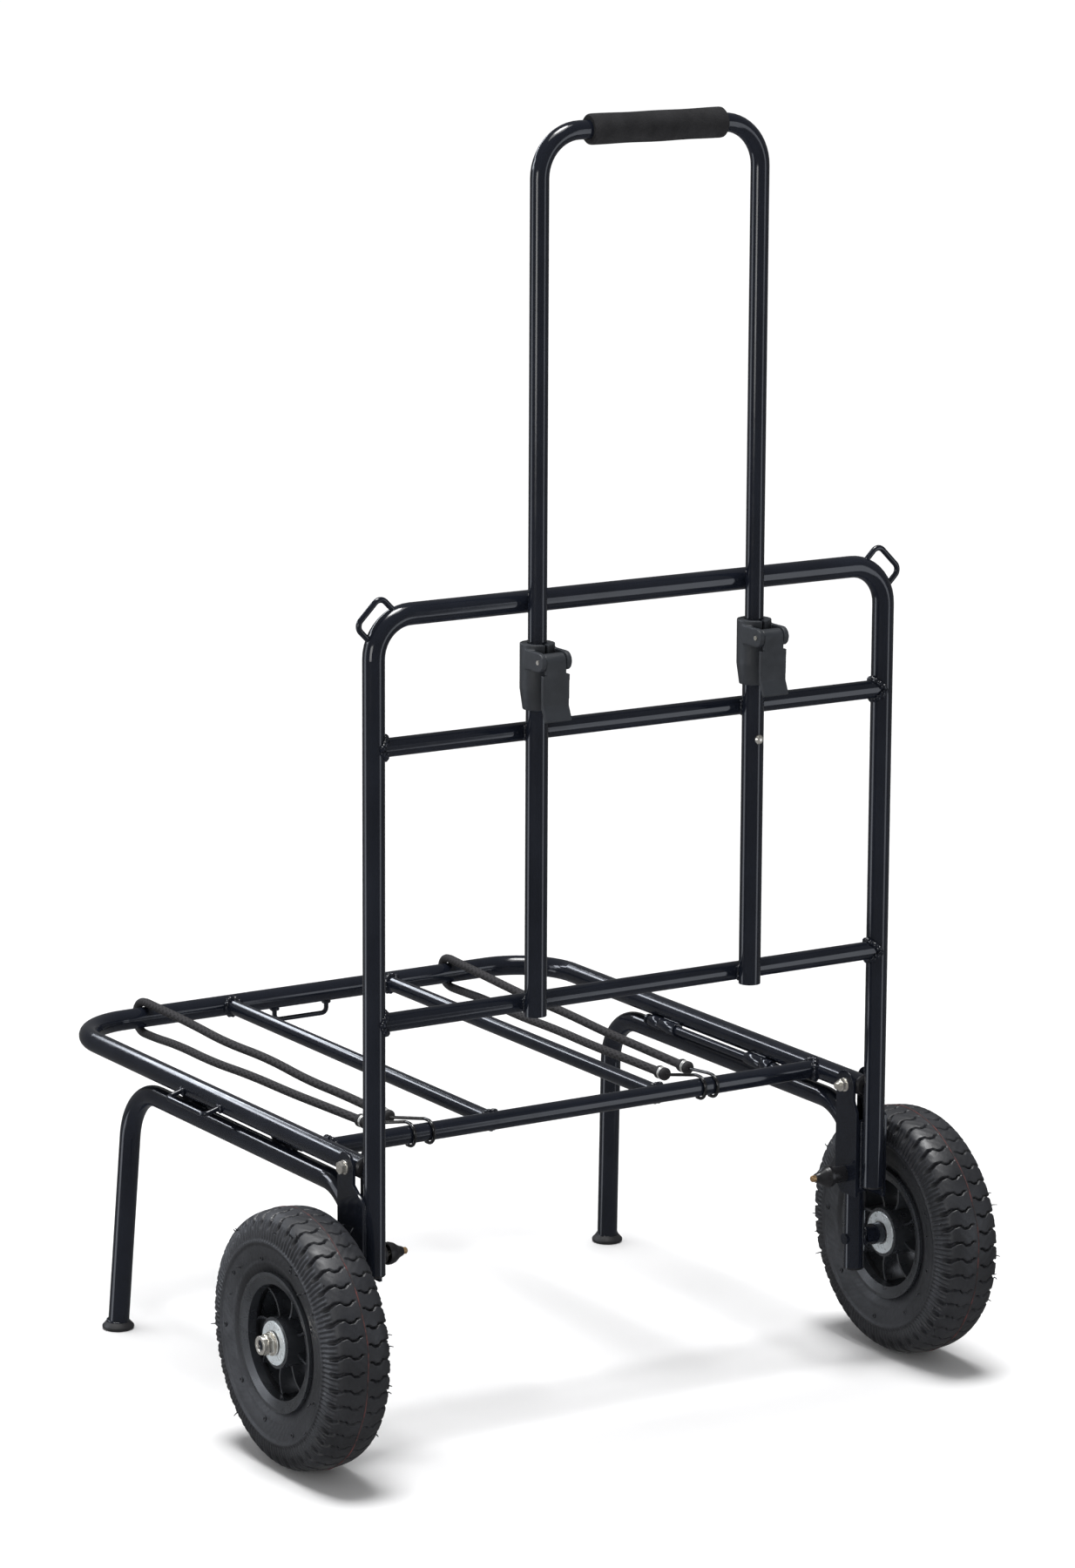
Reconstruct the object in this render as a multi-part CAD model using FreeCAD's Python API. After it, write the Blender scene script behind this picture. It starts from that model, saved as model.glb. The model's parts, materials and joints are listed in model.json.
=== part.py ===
"""Folding luggage cart: welded tube backrest, hinged platform, fold-in leg frames with pneumatic wheels.

Millimetres. +Z is up, +Y runs forward from the backrest over the platform, +X is to the right of a
person who stands behind the cart. The origin is on the floor, under the middle of the model's box.
"""
import math
import os

import FreeCAD
import Part

V = FreeCAD.Vector
X, Y, Z = V(1, 0, 0), V(0, 1, 0), V(0, 0, 1)

# ---- driving dimensions -------------------------------------------------------------------------
FRAME_R = 9.5            # 19 mm tube: backrest hoop, platform loop, leg frames, sleeves
FRAME_WALL = 1.5
RAIL_R = 8.0             # 16 mm tube: cross rails and handle
RAIL_WALL = 1.2
SLAT_R = 7.0

HALF_WIDTH = 256.5       # centre of uprights, side rails and leg tubes, from the middle plane
UPRIGHT_BOTTOM = 167.5
HOOP_TOP = 727.5
HOOP_BEND = 35.0
CROSS_RAIL_Y = -0.6
LOWER_RAIL_Z = 383.5
UPPER_RAIL_Z = 617.5

HANDLE_X = 109.0         # centre of each handle rod and its sleeve
HANDLE_Y = -17.8
SLEEVE_BOTTOM = 375.5
SLEEVE_TOP = 686.0
SLEEVE_BORE = 8.3
HANDLE_TOP = 1119.0
HANDLE_BEND = 38.0
ROD_BOTTOM = 600.0
GRIP_FROM, GRIP_TO, GRIP_R = -62.0, 70.0, 13.0
COLLAR_BOTTOM, COLLAR_TOP, COLLAR_R = 639.5, 695.5, 14.8
LEVER_PIN_Y, LEVER_PIN_Z, LEVER_PIN_R = -41.5, 683.5, 2.0
STOP_SCREW_Z = 592.0

PIVOT_Y = 27.0           # platform bolts, rear leg tubes and axles share this plane
PLATFORM_Z = 255.5
PLATFORM_FRONT = 558.0
PLATFORM_BEND = 60.0
RAIL_TAIL = 17.0         # rear ends of the side rails
REAR_RAIL_Y = 86.0
SLAT_X = 86.0
BOLT_R = 3.0

LEG_Z = 231.9            # horizontal run of each leg frame
LEG_REAR_BOTTOM = 86.0
LEG_REAR_BEND = 50.0
LEG_FRONT_Y = 428.0
LEG_FRONT_BEND = 52.0
FOOT_X, FOOT_Y = 265.0, 446.0
FOOT_R, FOOT_H = 14.5, 7.0

HINGE_R = 4.0            # rod that each leg frame folds about
KNUCKLE_R = 6.0
KNUCKLES = ((145.0, 158.0, "leg"), (158.4, 184.0, "rail"), (300.0, 325.6, "rail"), (326.0, 343.0, "leg"))

PLATE_T = 3.0            # bracket steel
CHEEK_GAP = 9.8          # half of the bracket's inside width
EAR_R = 13.0
BRACKET_FOOT = 156.0
LATCH_Z = 173.5          # plunger on the inner cheek, in line with a hole in the leg tube

WHEEL_R = 112.5
WHEEL_X = 312.0          # middle of the tyre
TYRE_W = 60.0
RIM_R = 60.0
RIM_HALF = 26.5
HUB_R = 22.0
AXLE_R = 5.0
BEARING_R = 13.0
SPOKES = 8
VALVE_ANGLE = 217.0      # between two spokes

CORD_R = 4.0
WIRE_R = 1.5
CRIMP_R, CRIMP_LENGTH = 6.0, 15.0

# Half way between the back of the tyres and the front of the platform: the row's Y origin.
MIDDLE_Y = (PLATFORM_FRONT + FRAME_R + PIVOT_Y - WHEEL_R) / 2

NODES = {}


# ---- helpers ------------------------------------------------------------------------------------
def block(x0, x1, y0, y1, z0, z1):
    return Part.makeBox(x1 - x0, y1 - y0, z1 - z0, V(x0, y0, z0))


def rod(a, b, radius):
    """Solid cylinder from point a to point b."""
    return Part.makeCylinder(radius, (b - a).Length, a, b - a)


def bore_through(a, b, radius, wall):
    """Tube from a to b."""
    return rod(a, b, radius).cut(rod(a, b, radius - wall))


def mirrored(shape):
    return shape.mirror(V(0, 0, 0), X)


def bent_path(points, radii):
    """Straight runs joined by tangent arcs; radii holds one radius for each inner point."""
    edges, start = [], points[0]
    for before, corner, after, radius in zip(points, points[1:], points[2:], radii):
        into, out = (before - corner).normalize(), (after - corner).normalize()
        half = into.getAngle(out) / 2
        reach = radius / math.tan(half)
        a, b = corner + into * reach, corner + out * reach
        middle = (into + out).normalize()
        centre = corner + middle * (radius / math.sin(half))
        if (a - start).Length > 1e-6:
            edges.append(Part.makeLine(start, a))
        edges.append(Part.Arc(a, centre - middle * radius, b).toShape())
        start = b
    edges.append(Part.makeLine(start, points[-1]))
    return Part.Wire(edges)


def swept(path, radius):
    start = path.Edges[0].valueAt(path.Edges[0].FirstParameter)
    along = path.Edges[0].tangentAt(path.Edges[0].FirstParameter)
    section = Part.Wire([Part.makeCircle(radius, start, along)])
    return path.makePipeShell([section], True, False)


def bent_tube(points, radii, radius, wall):
    path = bent_path(points, radii)
    return swept(path, radius).cut(swept(path, radius - wall))


def bent_rod(points, radii, radius):
    return swept(bent_path(points, radii), radius)


def plate(outline, x0, thickness):
    """Extrude a closed (y, z) outline along X. An item (y, z, my, mz) ends an arc through (my, mz)."""
    edges, last = [], V(x0, outline[0][0], outline[0][1])
    for item in list(outline[1:]) + [outline[0][:2]]:
        here = V(x0, item[0], item[1])
        if len(item) == 4:
            edges.append(Part.Arc(last, V(x0, item[2], item[3]), here).toShape())
        elif (here - last).Length > 1e-6:
            edges.append(Part.makeLine(last, here))
        last = here
    return Part.Face(Part.Wire(edges)).extrude(V(thickness, 0, 0))


def turned(profile, centre, axis=X):
    """Revolve a closed (along, radius) outline about an axis through centre."""
    side = Y if abs(axis.z) > 0.9 else Z
    points = [centre + axis * a + side * r for a, r in profile]
    return Part.Face(Part.makePolygon(points + points[:1])).revolve(centre, axis, 360)


def ring(centre, axis, inner, outer, length):
    return Part.makeCylinder(outer, length, centre, axis).cut(Part.makeCylinder(inner, length, centre, axis))


def save(name, *shapes):
    solids = [solid for shape in shapes for solid in shape.Solids]
    NODES[name] = Part.makeCompound(solids)


def both_sides(name, shape):
    """One node for each side; shape is the right-hand one."""
    save(name + "_right", shape)
    save(name + "_left", mirrored(shape))


# ---- backrest -----------------------------------------------------------------------------------
def hoop_path():
    return bent_path(
        [V(-HALF_WIDTH, 0, UPRIGHT_BOTTOM), V(-HALF_WIDTH, 0, HOOP_TOP),
         V(HALF_WIDTH, 0, HOOP_TOP), V(HALF_WIDTH, 0, UPRIGHT_BOTTOM)], [HOOP_BEND] * 2)


def sleeve_outside(side):
    return rod(V(side * HANDLE_X, HANDLE_Y, SLEEVE_BOTTOM), V(side * HANDLE_X, HANDLE_Y, SLEEVE_TOP), FRAME_R)


def sleeve_inside(side):
    return rod(V(side * HANDLE_X, HANDLE_Y, SLEEVE_BOTTOM), V(side * HANDLE_X, HANDLE_Y, SLEEVE_TOP), SLEEVE_BORE)


def make_backrest():
    outside = swept(hoop_path(), FRAME_R)
    save("backrest_hoop", outside.cut(swept(hoop_path(), FRAME_R - FRAME_WALL)))
    sleeves = [sleeve_outside(side) for side in (-1, 1)]
    rails = []
    for height in (LOWER_RAIL_Z, UPPER_RAIL_Z):
        a, b = V(-HALF_WIDTH, CROSS_RAIL_Y, height), V(HALF_WIDTH, CROSS_RAIL_Y, height)
        rails.append(bore_through(a, b, RAIL_R, RAIL_WALL).cut([outside] + sleeves))
    save("backrest_cross_rails", *rails)
    screw_hole = rod(V(HANDLE_X, HANDLE_Y - 20, STOP_SCREW_Z), V(HANDLE_X, HANDLE_Y, STOP_SCREW_Z), 2.0)
    save("handle_sleeves", *[sleeve_outside(side).cut([sleeve_inside(side), screw_hole]) for side in (-1, 1)])
    make_stop_screw()
    make_corner_loops(outside)
    save("upright_end_plugs", *[end_plug(V(side * HALF_WIDTH, 0, UPRIGHT_BOTTOM)) for side in (-1, 1)])


def end_plug(at):
    """Flat plug pushed up into the open lower end of a frame tube."""
    stem = rod(at, at + Z * 9, FRAME_R - FRAME_WALL)
    return stem.fuse(turned([(0, 0), (0, FRAME_R), (1.2, FRAME_R), (2.0, FRAME_R - 0.8), (2.0, 0)], at, V(0, 0, -1)))


def make_stop_screw():
    at = V(HANDLE_X, HANDLE_Y, STOP_SCREW_Z)
    face = FRAME_R + 0.05
    shank = rod(at - Y * face, at - Y * (SLEEVE_BORE + 0.1), 2.0)
    dome = turned([(0, 0), (0, 4.0), (0.9, 4.0), (2.2, 2.9), (2.9, 1.2), (3.0, 0)], at - Y * face, V(0, -1, 0))
    save("sleeve_stop_screw", shank.fuse(dome))


def make_corner_loops(outside):
    """Wire loops that stand off the hoop's two upper corners at 45 degrees."""
    centre = V(HALF_WIDTH - HOOP_BEND, 0, HOOP_TOP - HOOP_BEND)
    out, along = V(1, 0, 1).normalize(), V(-1, 0, 1).normalize()
    base, reach, half = HOOP_BEND - 2.0, HOOP_BEND + FRAME_R + 12.5, 16.5
    points = [centre + out * base - along * half, centre + out * reach - along * half,
              centre + out * reach + along * half, centre + out * base + along * half]
    loop = bent_rod(points, [7.0, 7.0], 2.5).cut(outside)
    loop = max(loop.Solids, key=lambda solid: solid.Volume)
    save("corner_tie_loops", loop, mirrored(loop))


# ---- telescopic handle and its clamps -----------------------------------------------------------
def make_handle():
    points = [V(-HANDLE_X, HANDLE_Y, ROD_BOTTOM), V(-HANDLE_X, HANDLE_Y, HANDLE_TOP),
              V(HANDLE_X, HANDLE_Y, HANDLE_TOP), V(HANDLE_X, HANDLE_Y, ROD_BOTTOM)]
    save("handle_bow", bent_tube(points, [HANDLE_BEND] * 2, RAIL_R, RAIL_WALL))
    grip = turned([(0, RAIL_R), (0, GRIP_R - 1.5), (1.5, GRIP_R), (GRIP_TO - GRIP_FROM - 1.5, GRIP_R),
                   (GRIP_TO - GRIP_FROM, GRIP_R - 1.5), (GRIP_TO - GRIP_FROM, RAIL_R)],
                  V(GRIP_FROM, HANDLE_Y, HANDLE_TOP))
    save("foam_grip", grip)
    plugs = []
    for side in (-1, 1):
        at = V(side * HANDLE_X, HANDLE_Y, ROD_BOTTOM)
        plugs.append(rod(at, at + Z * 12, RAIL_R - RAIL_WALL).fuse(rod(at - Z * 3, at, RAIL_R)))
    save("rod_end_plugs", *plugs)


def make_clamps():
    collars, pins, bushes = [], [], []
    for side, name in ((-1, "left"), (1, "right")):
        cx = side * HANDLE_X
        collars.append(collar(cx))
        pin_at = V(cx, LEVER_PIN_Y, LEVER_PIN_Z)
        pins.append(rod(pin_at - X * 15, pin_at + X * 15, LEVER_PIN_R))
        at = V(cx, HANDLE_Y, SLEEVE_TOP)
        bushes.append(ring(at, Z, RAIL_R + 0.06, 11.0, 7.0))
        save("clamp_lever_" + name, lever(cx))
    save("clamp_collars", *collars)
    save("clamp_pins", *pins)
    save("rod_guide_bushes", *bushes)


def collar(cx):
    """Split plastic collar with two ears for the lever's pin."""
    at = V(cx, HANDLE_Y, COLLAR_BOTTOM)
    height = COLLAR_TOP - COLLAR_BOTTOM
    body = turned([(0, 8), (0, COLLAR_R - 2.5), (18, COLLAR_R), (height, COLLAR_R), (height, 8)], at, Z)
    for side in (-1, 1):
        x0 = cx + (10.1 if side > 0 else -14.6)
        boss = Part.makeCylinder(8.0, 4.5, V(x0, LEVER_PIN_Y, LEVER_PIN_Z), X)
        arm = block(x0, x0 + 4.5, LEVER_PIN_Y, HANDLE_Y, LEVER_PIN_Z - 8, LEVER_PIN_Z + 8)
        body = body.fuse([boss, arm])
    body = body.cut([
        rod(at, V(cx, HANDLE_Y, SLEEVE_TOP), FRAME_R),
        rod(V(cx, HANDLE_Y, SLEEVE_TOP), V(cx, HANDLE_Y, SLEEVE_TOP + 7), 11.0),
        rod(V(cx, HANDLE_Y, SLEEVE_TOP), V(cx, HANDLE_Y, COLLAR_TOP + 1), RAIL_R + 0.4),
        rod(V(cx - 16, LEVER_PIN_Y, LEVER_PIN_Z), V(cx + 16, LEVER_PIN_Y, LEVER_PIN_Z), LEVER_PIN_R),
        block(cx - 1.2, cx + 1.2, HANDLE_Y - COLLAR_R - 1, HANDLE_Y, COLLAR_BOTTOM + 12, COLLAR_TOP + 1)])
    return body.removeSplitter()


def lever(cx):
    """Cam lever that hangs down behind the collar, with a flared lip at its foot."""
    y, z = LEVER_PIN_Y, LEVER_PIN_Z
    hub = Part.makeCylinder(6.8, 19.6, V(cx - 9.8, y, z), X)
    neck = block(cx - 9.8, cx + 9.8, y - 6.8, y - 2.8, z - 11.5, z)
    blade = plate([(y - 6.8, z - 10.5), (y - 6.3, 646.5), (y - 11.5, 634.5), (y - 8.4, 633.5), (y - 2.5, 645.5),
                   (y - 2.8, z - 10.5)], cx - 13, 26)
    taper = [block(cx + side * 14 - 1.2, cx + side * 14 + 1.2, y - 20, y + 5, 630, 652) for side in (-1, 1)]
    hole = rod(V(cx - 12, y, z), V(cx + 12, y, z), LEVER_PIN_R + 0.05)
    return hub.fuse([neck, blade]).cut(taper + [hole]).removeSplitter()


# ---- pivot brackets, right side -----------------------------------------------------------------
def cheek_outline(rear, shoulder):
    """Cheek plate: rounded about the platform bolt, wider below, with its lower front corner cut off."""
    p, q = PIVOT_Y, PLATFORM_Z
    front, back = p + EAR_R, p - EAR_R
    return [(rear, BRACKET_FOOT), (front - 9, BRACKET_FOOT), (front, BRACKET_FOOT + 10), (front, q),
            (back, q, p, q + EAR_R), (back, q - 13), (rear, shoulder)]


def make_brackets():
    """Channel that takes the leg tube from the front: two cheeks and the web that is welded to the upright."""
    inner_x = HALF_WIDTH - CHEEK_GAP
    outer_x = HALF_WIDTH + CHEEK_GAP
    web_y = 8.4
    p, q = PIVOT_Y, PLATFORM_Z
    upright = rod(V(HALF_WIDTH, 0, 100), V(HALF_WIDTH, 0, 300), FRAME_R)
    inner = plate(cheek_outline(web_y, 232), inner_x - PLATE_T, PLATE_T)
    outer = plate(cheek_outline(-2, 231), outer_x, PLATE_T)
    web = block(inner_x - PLATE_T, outer_x + PLATE_T, web_y, web_y + PLATE_T, BRACKET_FOOT + 4, 226)
    bolt_hole = rod(V(HALF_WIDTH - 20, p, q), V(HALF_WIDTH + 20, p, q), BOLT_R)
    plunger_hole = rod(V(HALF_WIDTH - 20, p, LATCH_Z), V(HALF_WIDTH, p, LATCH_Z), 6.0)
    bracket = inner.fuse([outer, web]).cut([upright, bolt_hole, plunger_hole]).removeSplitter()
    save("pivot_brackets", bracket, mirrored(bracket))
    make_pivot_bolts(inner_x - PLATE_T, outer_x + PLATE_T)
    make_plunger(inner_x - PLATE_T)


def hexagon(centre, axis, across_flats, height):
    radius = across_flats / math.sqrt(3)
    side = Y if abs(axis.z) > 0.9 else Z
    points = [centre + FreeCAD.Rotation(axis, 60.0 * i).multVec(side) * radius for i in range(7)]
    return Part.Face(Part.makePolygon(points)).extrude(axis * height)


def make_pivot_bolts(inner, outer):
    at = V(0, PIVOT_Y, PLATFORM_Z)
    washer_t, head_h, nut_h = 1.4, 4.2, 6.0
    washers = [ring(at + X * outer, X, BOLT_R, 6.2, washer_t),
               ring(at + X * (inner - washer_t), X, BOLT_R, 6.2, washer_t)]
    head = hexagon(at + X * (outer + washer_t), X, 10.0, head_h)
    shank = rod(at + X * (inner - washer_t - nut_h - 2.5), at + X * (outer + washer_t), BOLT_R)
    bolt = shank.fuse(head)
    nut = hexagon(at + X * (inner - washer_t - nut_h + 1.8), X, 10.0, nut_h - 1.8)
    collar_part = ring(at + X * (inner - washer_t - nut_h), X, BOLT_R, 4.3, 1.8)
    nut = nut.cut(shank).fuse(collar_part)
    save("pivot_bolts", bolt, mirrored(bolt))
    save("pivot_nuts", nut, mirrored(nut))
    save("pivot_washers", *(washers + [mirrored(washer) for washer in washers]))


# ---- platform -----------------------------------------------------------------------------------
def platform_path():
    return bent_path(
        [V(-HALF_WIDTH, RAIL_TAIL, PLATFORM_Z), V(-HALF_WIDTH, PLATFORM_FRONT, PLATFORM_Z),
         V(HALF_WIDTH, PLATFORM_FRONT, PLATFORM_Z), V(HALF_WIDTH, RAIL_TAIL, PLATFORM_Z)], [PLATFORM_BEND] * 2)


def make_platform():
    outside = swept(platform_path(), FRAME_R)
    inside = swept(platform_path(), FRAME_R - FRAME_WALL)
    bolt_hole = rod(V(-300, PIVOT_Y, PLATFORM_Z), V(300, PIVOT_Y, PLATFORM_Z), BOLT_R + 0.08)
    save("platform_loop", outside.cut([inside, bolt_hole]))
    a, b = V(-HALF_WIDTH, REAR_RAIL_Y, PLATFORM_Z), V(HALF_WIDTH, REAR_RAIL_Y, PLATFORM_Z)
    rear = rod(a, b, RAIL_R)
    save("platform_rear_rail", bore_through(a, b, RAIL_R, RAIL_WALL).cut(outside))
    slats = []
    for side in (-1, 1):
        a, b = V(side * SLAT_X, REAR_RAIL_Y, PLATFORM_Z), V(side * SLAT_X, PLATFORM_FRONT, PLATFORM_Z)
        slats.append(bore_through(a, b, SLAT_R, RAIL_WALL).cut([outside, rear]))
    save("platform_slats", *slats)
    make_rail_loops(outside)
    make_end_plugs()


def make_rail_loops(outside):
    """Small wire loops: one outside each side rail and one under the front rail."""
    def loop(foot, out, along, half):
        points = [foot - along * half, foot + out - along * half, foot + out + along * half, foot + along * half]
        solid = bent_rod(points, [5.0, 5.0], 2.25).cut(outside)
        return max(solid.Solids, key=lambda s: s.Volume)
    side = loop(V(HALF_WIDTH + 7.5, 284, PLATFORM_Z - 1), V(17.5, 0, -5), Y, 34)
    front = loop(V(-9, PLATFORM_FRONT, PLATFORM_Z - 7.5), V(0, 0, -13.5), X, 28)
    save("rail_tie_loops", side, mirrored(side), front)


def make_end_plugs():
    """Domed plugs that close the rear ends of the side rails."""
    at = V(HALF_WIDTH, RAIL_TAIL, PLATFORM_Z)
    head = turned([(0, 0), (0, FRAME_R), (1.8, FRAME_R), (3.6, 7.6), (4.8, 4.6), (5.3, 0)], at, V(0, -1, 0))
    stem = rod(at, at + Y * 5.5, FRAME_R - FRAME_WALL)
    plug = head.fuse(stem)
    save("rail_end_plugs", plug, mirrored(plug))


# ---- leg frames, right side ---------------------------------------------------------------------
def hinge_centre():
    """Middle of the hinge rod: it nests against the side rail and the leg tube under it."""
    level = (PLATFORM_Z + LEG_Z) / 2
    reach = FRAME_R + KNUCKLE_R
    return HALF_WIDTH - math.sqrt(reach ** 2 - ((PLATFORM_Z - LEG_Z) / 2) ** 2), level


def leg_path():
    return bent_path(
        [V(HALF_WIDTH, PIVOT_Y, LEG_REAR_BOTTOM), V(HALF_WIDTH, PIVOT_Y, LEG_Z),
         V(HALF_WIDTH, LEG_FRONT_Y, LEG_Z), V(FOOT_X, FOOT_Y, 0)], [LEG_REAR_BEND, LEG_FRONT_BEND])


def make_leg():
    outside = swept(leg_path(), FRAME_R)
    p, hw = PIVOT_Y, HALF_WIDTH
    axle_hole = rod(V(hw - 20, p, WHEEL_R), V(hw + 20, p, WHEEL_R), AXLE_R)
    latch_hole = rod(V(hw - 20, p, LATCH_Z), V(hw, p, LATCH_Z), 3.15)
    below_foot = block(hw - 60, hw + 60, FOOT_Y - 60, FOOT_Y + 60, -30, FOOT_H)
    tube = outside.cut([swept(leg_path(), FRAME_R - FRAME_WALL), axle_hole, latch_hole, below_foot])
    both_sides("leg_tube", tube)
    foot = turned([(0, 0), (0, FOOT_R - 1.5), (1.5, FOOT_R), (3.2, FOOT_R), (FOOT_H, 11.0), (FOOT_H, 0)],
                  V(FOOT_X, FOOT_Y, 0), Z)
    save("foot_pads", foot, mirrored(foot))
    plug = end_plug(V(HALF_WIDTH, PIVOT_Y, LEG_REAR_BOTTOM))
    save("leg_end_plugs", plug, mirrored(plug))
    make_hinges()


def make_hinges():
    hx, hz = hinge_centre()
    rails, legs = [], []
    for y0, y1, owner in KNUCKLES:
        knuckle = ring(V(hx, y0, hz), Y, HINGE_R + (0.05 if owner == "leg" else 0.0), KNUCKLE_R, y1 - y0)
        (rails if owner == "rail" else legs).append(knuckle)
    rails = [weld_pad(knuckle, PLATFORM_Z, (hx, hz)) for knuckle in rails]
    legs = [weld_pad(knuckle, LEG_Z, (hx, hz)) for knuckle in legs]
    save("rail_knuckles", *(rails + [mirrored(knuckle) for knuckle in rails]))
    save("leg_knuckles", *(legs + [mirrored(knuckle) for knuckle in legs]))
    y0, y1 = KNUCKLES[0][0] - 4, KNUCKLES[-1][1] + 4
    pin = rod(V(hx, y0, hz), V(hx, y1, hz), HINGE_R)
    for y in (y0 - 2.5, y1):
        pin = pin.fuse(rod(V(hx, y, hz), V(hx, y + 2.5, hz), HINGE_R + 1.2))
    save("hinge_rods", pin, mirrored(pin))


def weld_pad(knuckle, tube_z, hinge):
    """Fill the notch between a knuckle and the tube that it is welded to."""
    hx, hz = hinge
    box = knuckle.BoundBox
    toward = V(HALF_WIDTH - hx, 0, tube_z - hz).normalize()
    across = V(-toward.z, 0, toward.x)
    mid = V(hx, box.YMin, hz) + toward * KNUCKLE_R
    corners = [mid - toward * 2.6 - across * 2.6, mid + toward * 1.2 - across * 2.6,
               mid + toward * 1.2 + across * 2.6, mid - toward * 2.6 + across * 2.6]
    pad = Part.Face(Part.makePolygon(corners + corners[:1])).extrude(Y * (box.YMax - box.YMin))
    tube = rod(V(HALF_WIDTH, box.YMin - 1, tube_z), V(HALF_WIDTH, box.YMax + 1, tube_z), FRAME_R)
    bore = rod(V(hx, box.YMin - 1, hz), V(hx, box.YMax + 1, hz), HINGE_R + 0.05)
    return knuckle.fuse(pad.cut([tube, bore])).removeSplitter()


def make_plunger(cheek_face):
    """Spring plunger on the inner cheek, drawn pulled back: its pin stops short of the leg tube."""
    at = V(0, PIVOT_Y, LATCH_Z)
    hub_end = cheek_face - 12.7
    hub = rod(at + X * hub_end, at + X * cheek_face, 7.5)
    neck = rod(at + X * cheek_face, at + X * (cheek_face + PLATE_T - 0.1), 6.0)
    bore = rod(at + X * (hub_end - 1), at + X * (cheek_face + 6), 3.06)
    chamber = rod(at + X * (hub_end + 1.6), at + X * (cheek_face + 1.4), 5.4)
    housing = hub.fuse(neck).cut([bore, chamber])
    save("plunger_housings", housing, mirrored(housing))
    shaft = rod(at + X * (hub_end - 18.0), at + X * (cheek_face + PLATE_T - 0.2), 3.0)
    flange = rod(at + X * (hub_end + 5.5), at + X * (hub_end + 6.9), 4.9)
    both_sides("plunger_pin", shaft.fuse(flange))
    tip = turned([(-18.0, 0), (-18.0, 3.0), (-21.0, 3.0), (-22.0, 2.2), (-22.0, 0)], at + X * hub_end)
    both_sides("plunger_tip", tip)
    bell = turned([(-17.6, 3.0), (-17.6, 4.0), (-14.0, 5.2), (-9.0, 8.6), (-5.0, 9.8), (-2.0, 9.8), (-2.0, 8.2),
                   (-9.5, 8.2), (-9.5, 3.0)], at + X * hub_end)
    both_sides("plunger_knob", bell)
    make_spring(at + X * (hub_end + 1.7), 3.7)


def make_spring(start, length):
    """Plunger spring squeezed between the chamber's floor and the pin's flange."""
    coils, wire = 3, 0.5
    pitch = (length - 2 * wire) / (coils - 1)
    rings = [Part.makeTorus(4.3, wire, start + X * (wire + pitch * i), X) for i in range(coils)]
    save("plunger_springs", *(rings + [mirrored(one) for one in rings]))


# ---- wheels, right side -------------------------------------------------------------------------
def wheel_centre():
    return V(WHEEL_X, PIVOT_Y, WHEEL_R)


def make_axle():
    at = V(0, PIVOT_Y, WHEEL_R)
    inner, shoulder, outer = HALF_WIDTH - FRAME_R - 1.5, HALF_WIDTH + FRAME_R + 0.6, WHEEL_X - 27.5
    end = WHEEL_X + 38.5
    shaft = rod(at + X * inner, at + X * end, AXLE_R)
    neck = rod(at + X * shoulder, at + X * (shoulder + 9), 7.0)
    spacer = rod(at + X * (shoulder + 9), at + X * outer, 9.5)
    axle = shaft.fuse([neck, spacer])
    save("axles", axle, mirrored(axle))
    face = WHEEL_X + 27.5
    washer = ring(at + X * (face + 0.4), X, AXLE_R, 10.5, 2.0)
    nut = hexagon(at + X * (face + 2.4), X, 17.0, 6.0).cut(shaft)
    nylon = ring(at + X * (face + 8.4), X, AXLE_R, 8.1, 4.1)
    nut = nut.fuse(nylon)
    save("axle_washers", washer, mirrored(washer))
    save("axle_nuts", nut, mirrored(nut))


def make_wheel():
    c = wheel_centre()
    hub = ring(c - X * 25.5, X, BEARING_R, HUB_R, 51.0)
    inside = RIM_R - 10.0
    barrel = turned([(-RIM_HALF, RIM_R), (-RIM_HALF, RIM_R - 3), (-RIM_HALF + 3, inside - 0.4), (0, inside - 1.4),
                     (RIM_HALF - 3, inside - 0.4), (RIM_HALF, RIM_R - 3), (RIM_HALF, RIM_R),
                     (RIM_HALF - 3.5, RIM_R), (RIM_HALF - 4.5, inside + 1.8), (0, inside + 1),
                     (-RIM_HALF + 4.5, inside + 1.8), (-RIM_HALF + 3.5, RIM_R)], c)
    rim = hub.fuse([spoke(c, i * 360.0 / SPOKES) for i in range(SPOKES)] + [barrel])
    valve_way = rod(valve_at(c, 30), valve_at(c, 60), 4.2)
    both_sides("wheel_rim", rim.cut(valve_way))
    both_sides("tyre", tyre(c))
    both_sides("inner_tube", inner_tube(c))
    bearings = [ring(c + X * x0, X, AXLE_R + 0.05, BEARING_R, 8.0) for x0 in (-25.5, 17.5)]
    both_sides("hub_bearings", Part.makeCompound(bearings))
    shields = [ring(c + X * x0, X, 10.5, 19.0, 1.5) for x0 in (-27.0, 25.5)]
    both_sides("hub_shields", Part.makeCompound(shields))


def spoke(c, degrees):
    """Curved blade from the hub to the rim's barrel."""
    sweep, half_width, thickness = 26.0, 15.0, 2.2
    arc_at = V(c.x - half_width, c.y + sweep * 0.55, c.z + (HUB_R + RIM_R - 12) / 2)
    band = ring(arc_at, X, sweep - thickness, sweep, half_width * 2)
    keep = ring(V(c.x - half_width, c.y, c.z), X, HUB_R - 1, RIM_R - 10.4, half_width * 2)
    side = block(c.x - 30, c.x + 30, c.y - 60, c.y + sweep * 0.55, c.z, c.z + 80)
    blade = band.common(keep).common(side)
    blade.rotate(c, X, degrees)
    return blade


def valve_at(c, radius):
    lean = math.radians(VALVE_ANGLE)
    return V(c.x, c.y + radius * math.cos(lean), c.z + radius * math.sin(lean))


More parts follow.
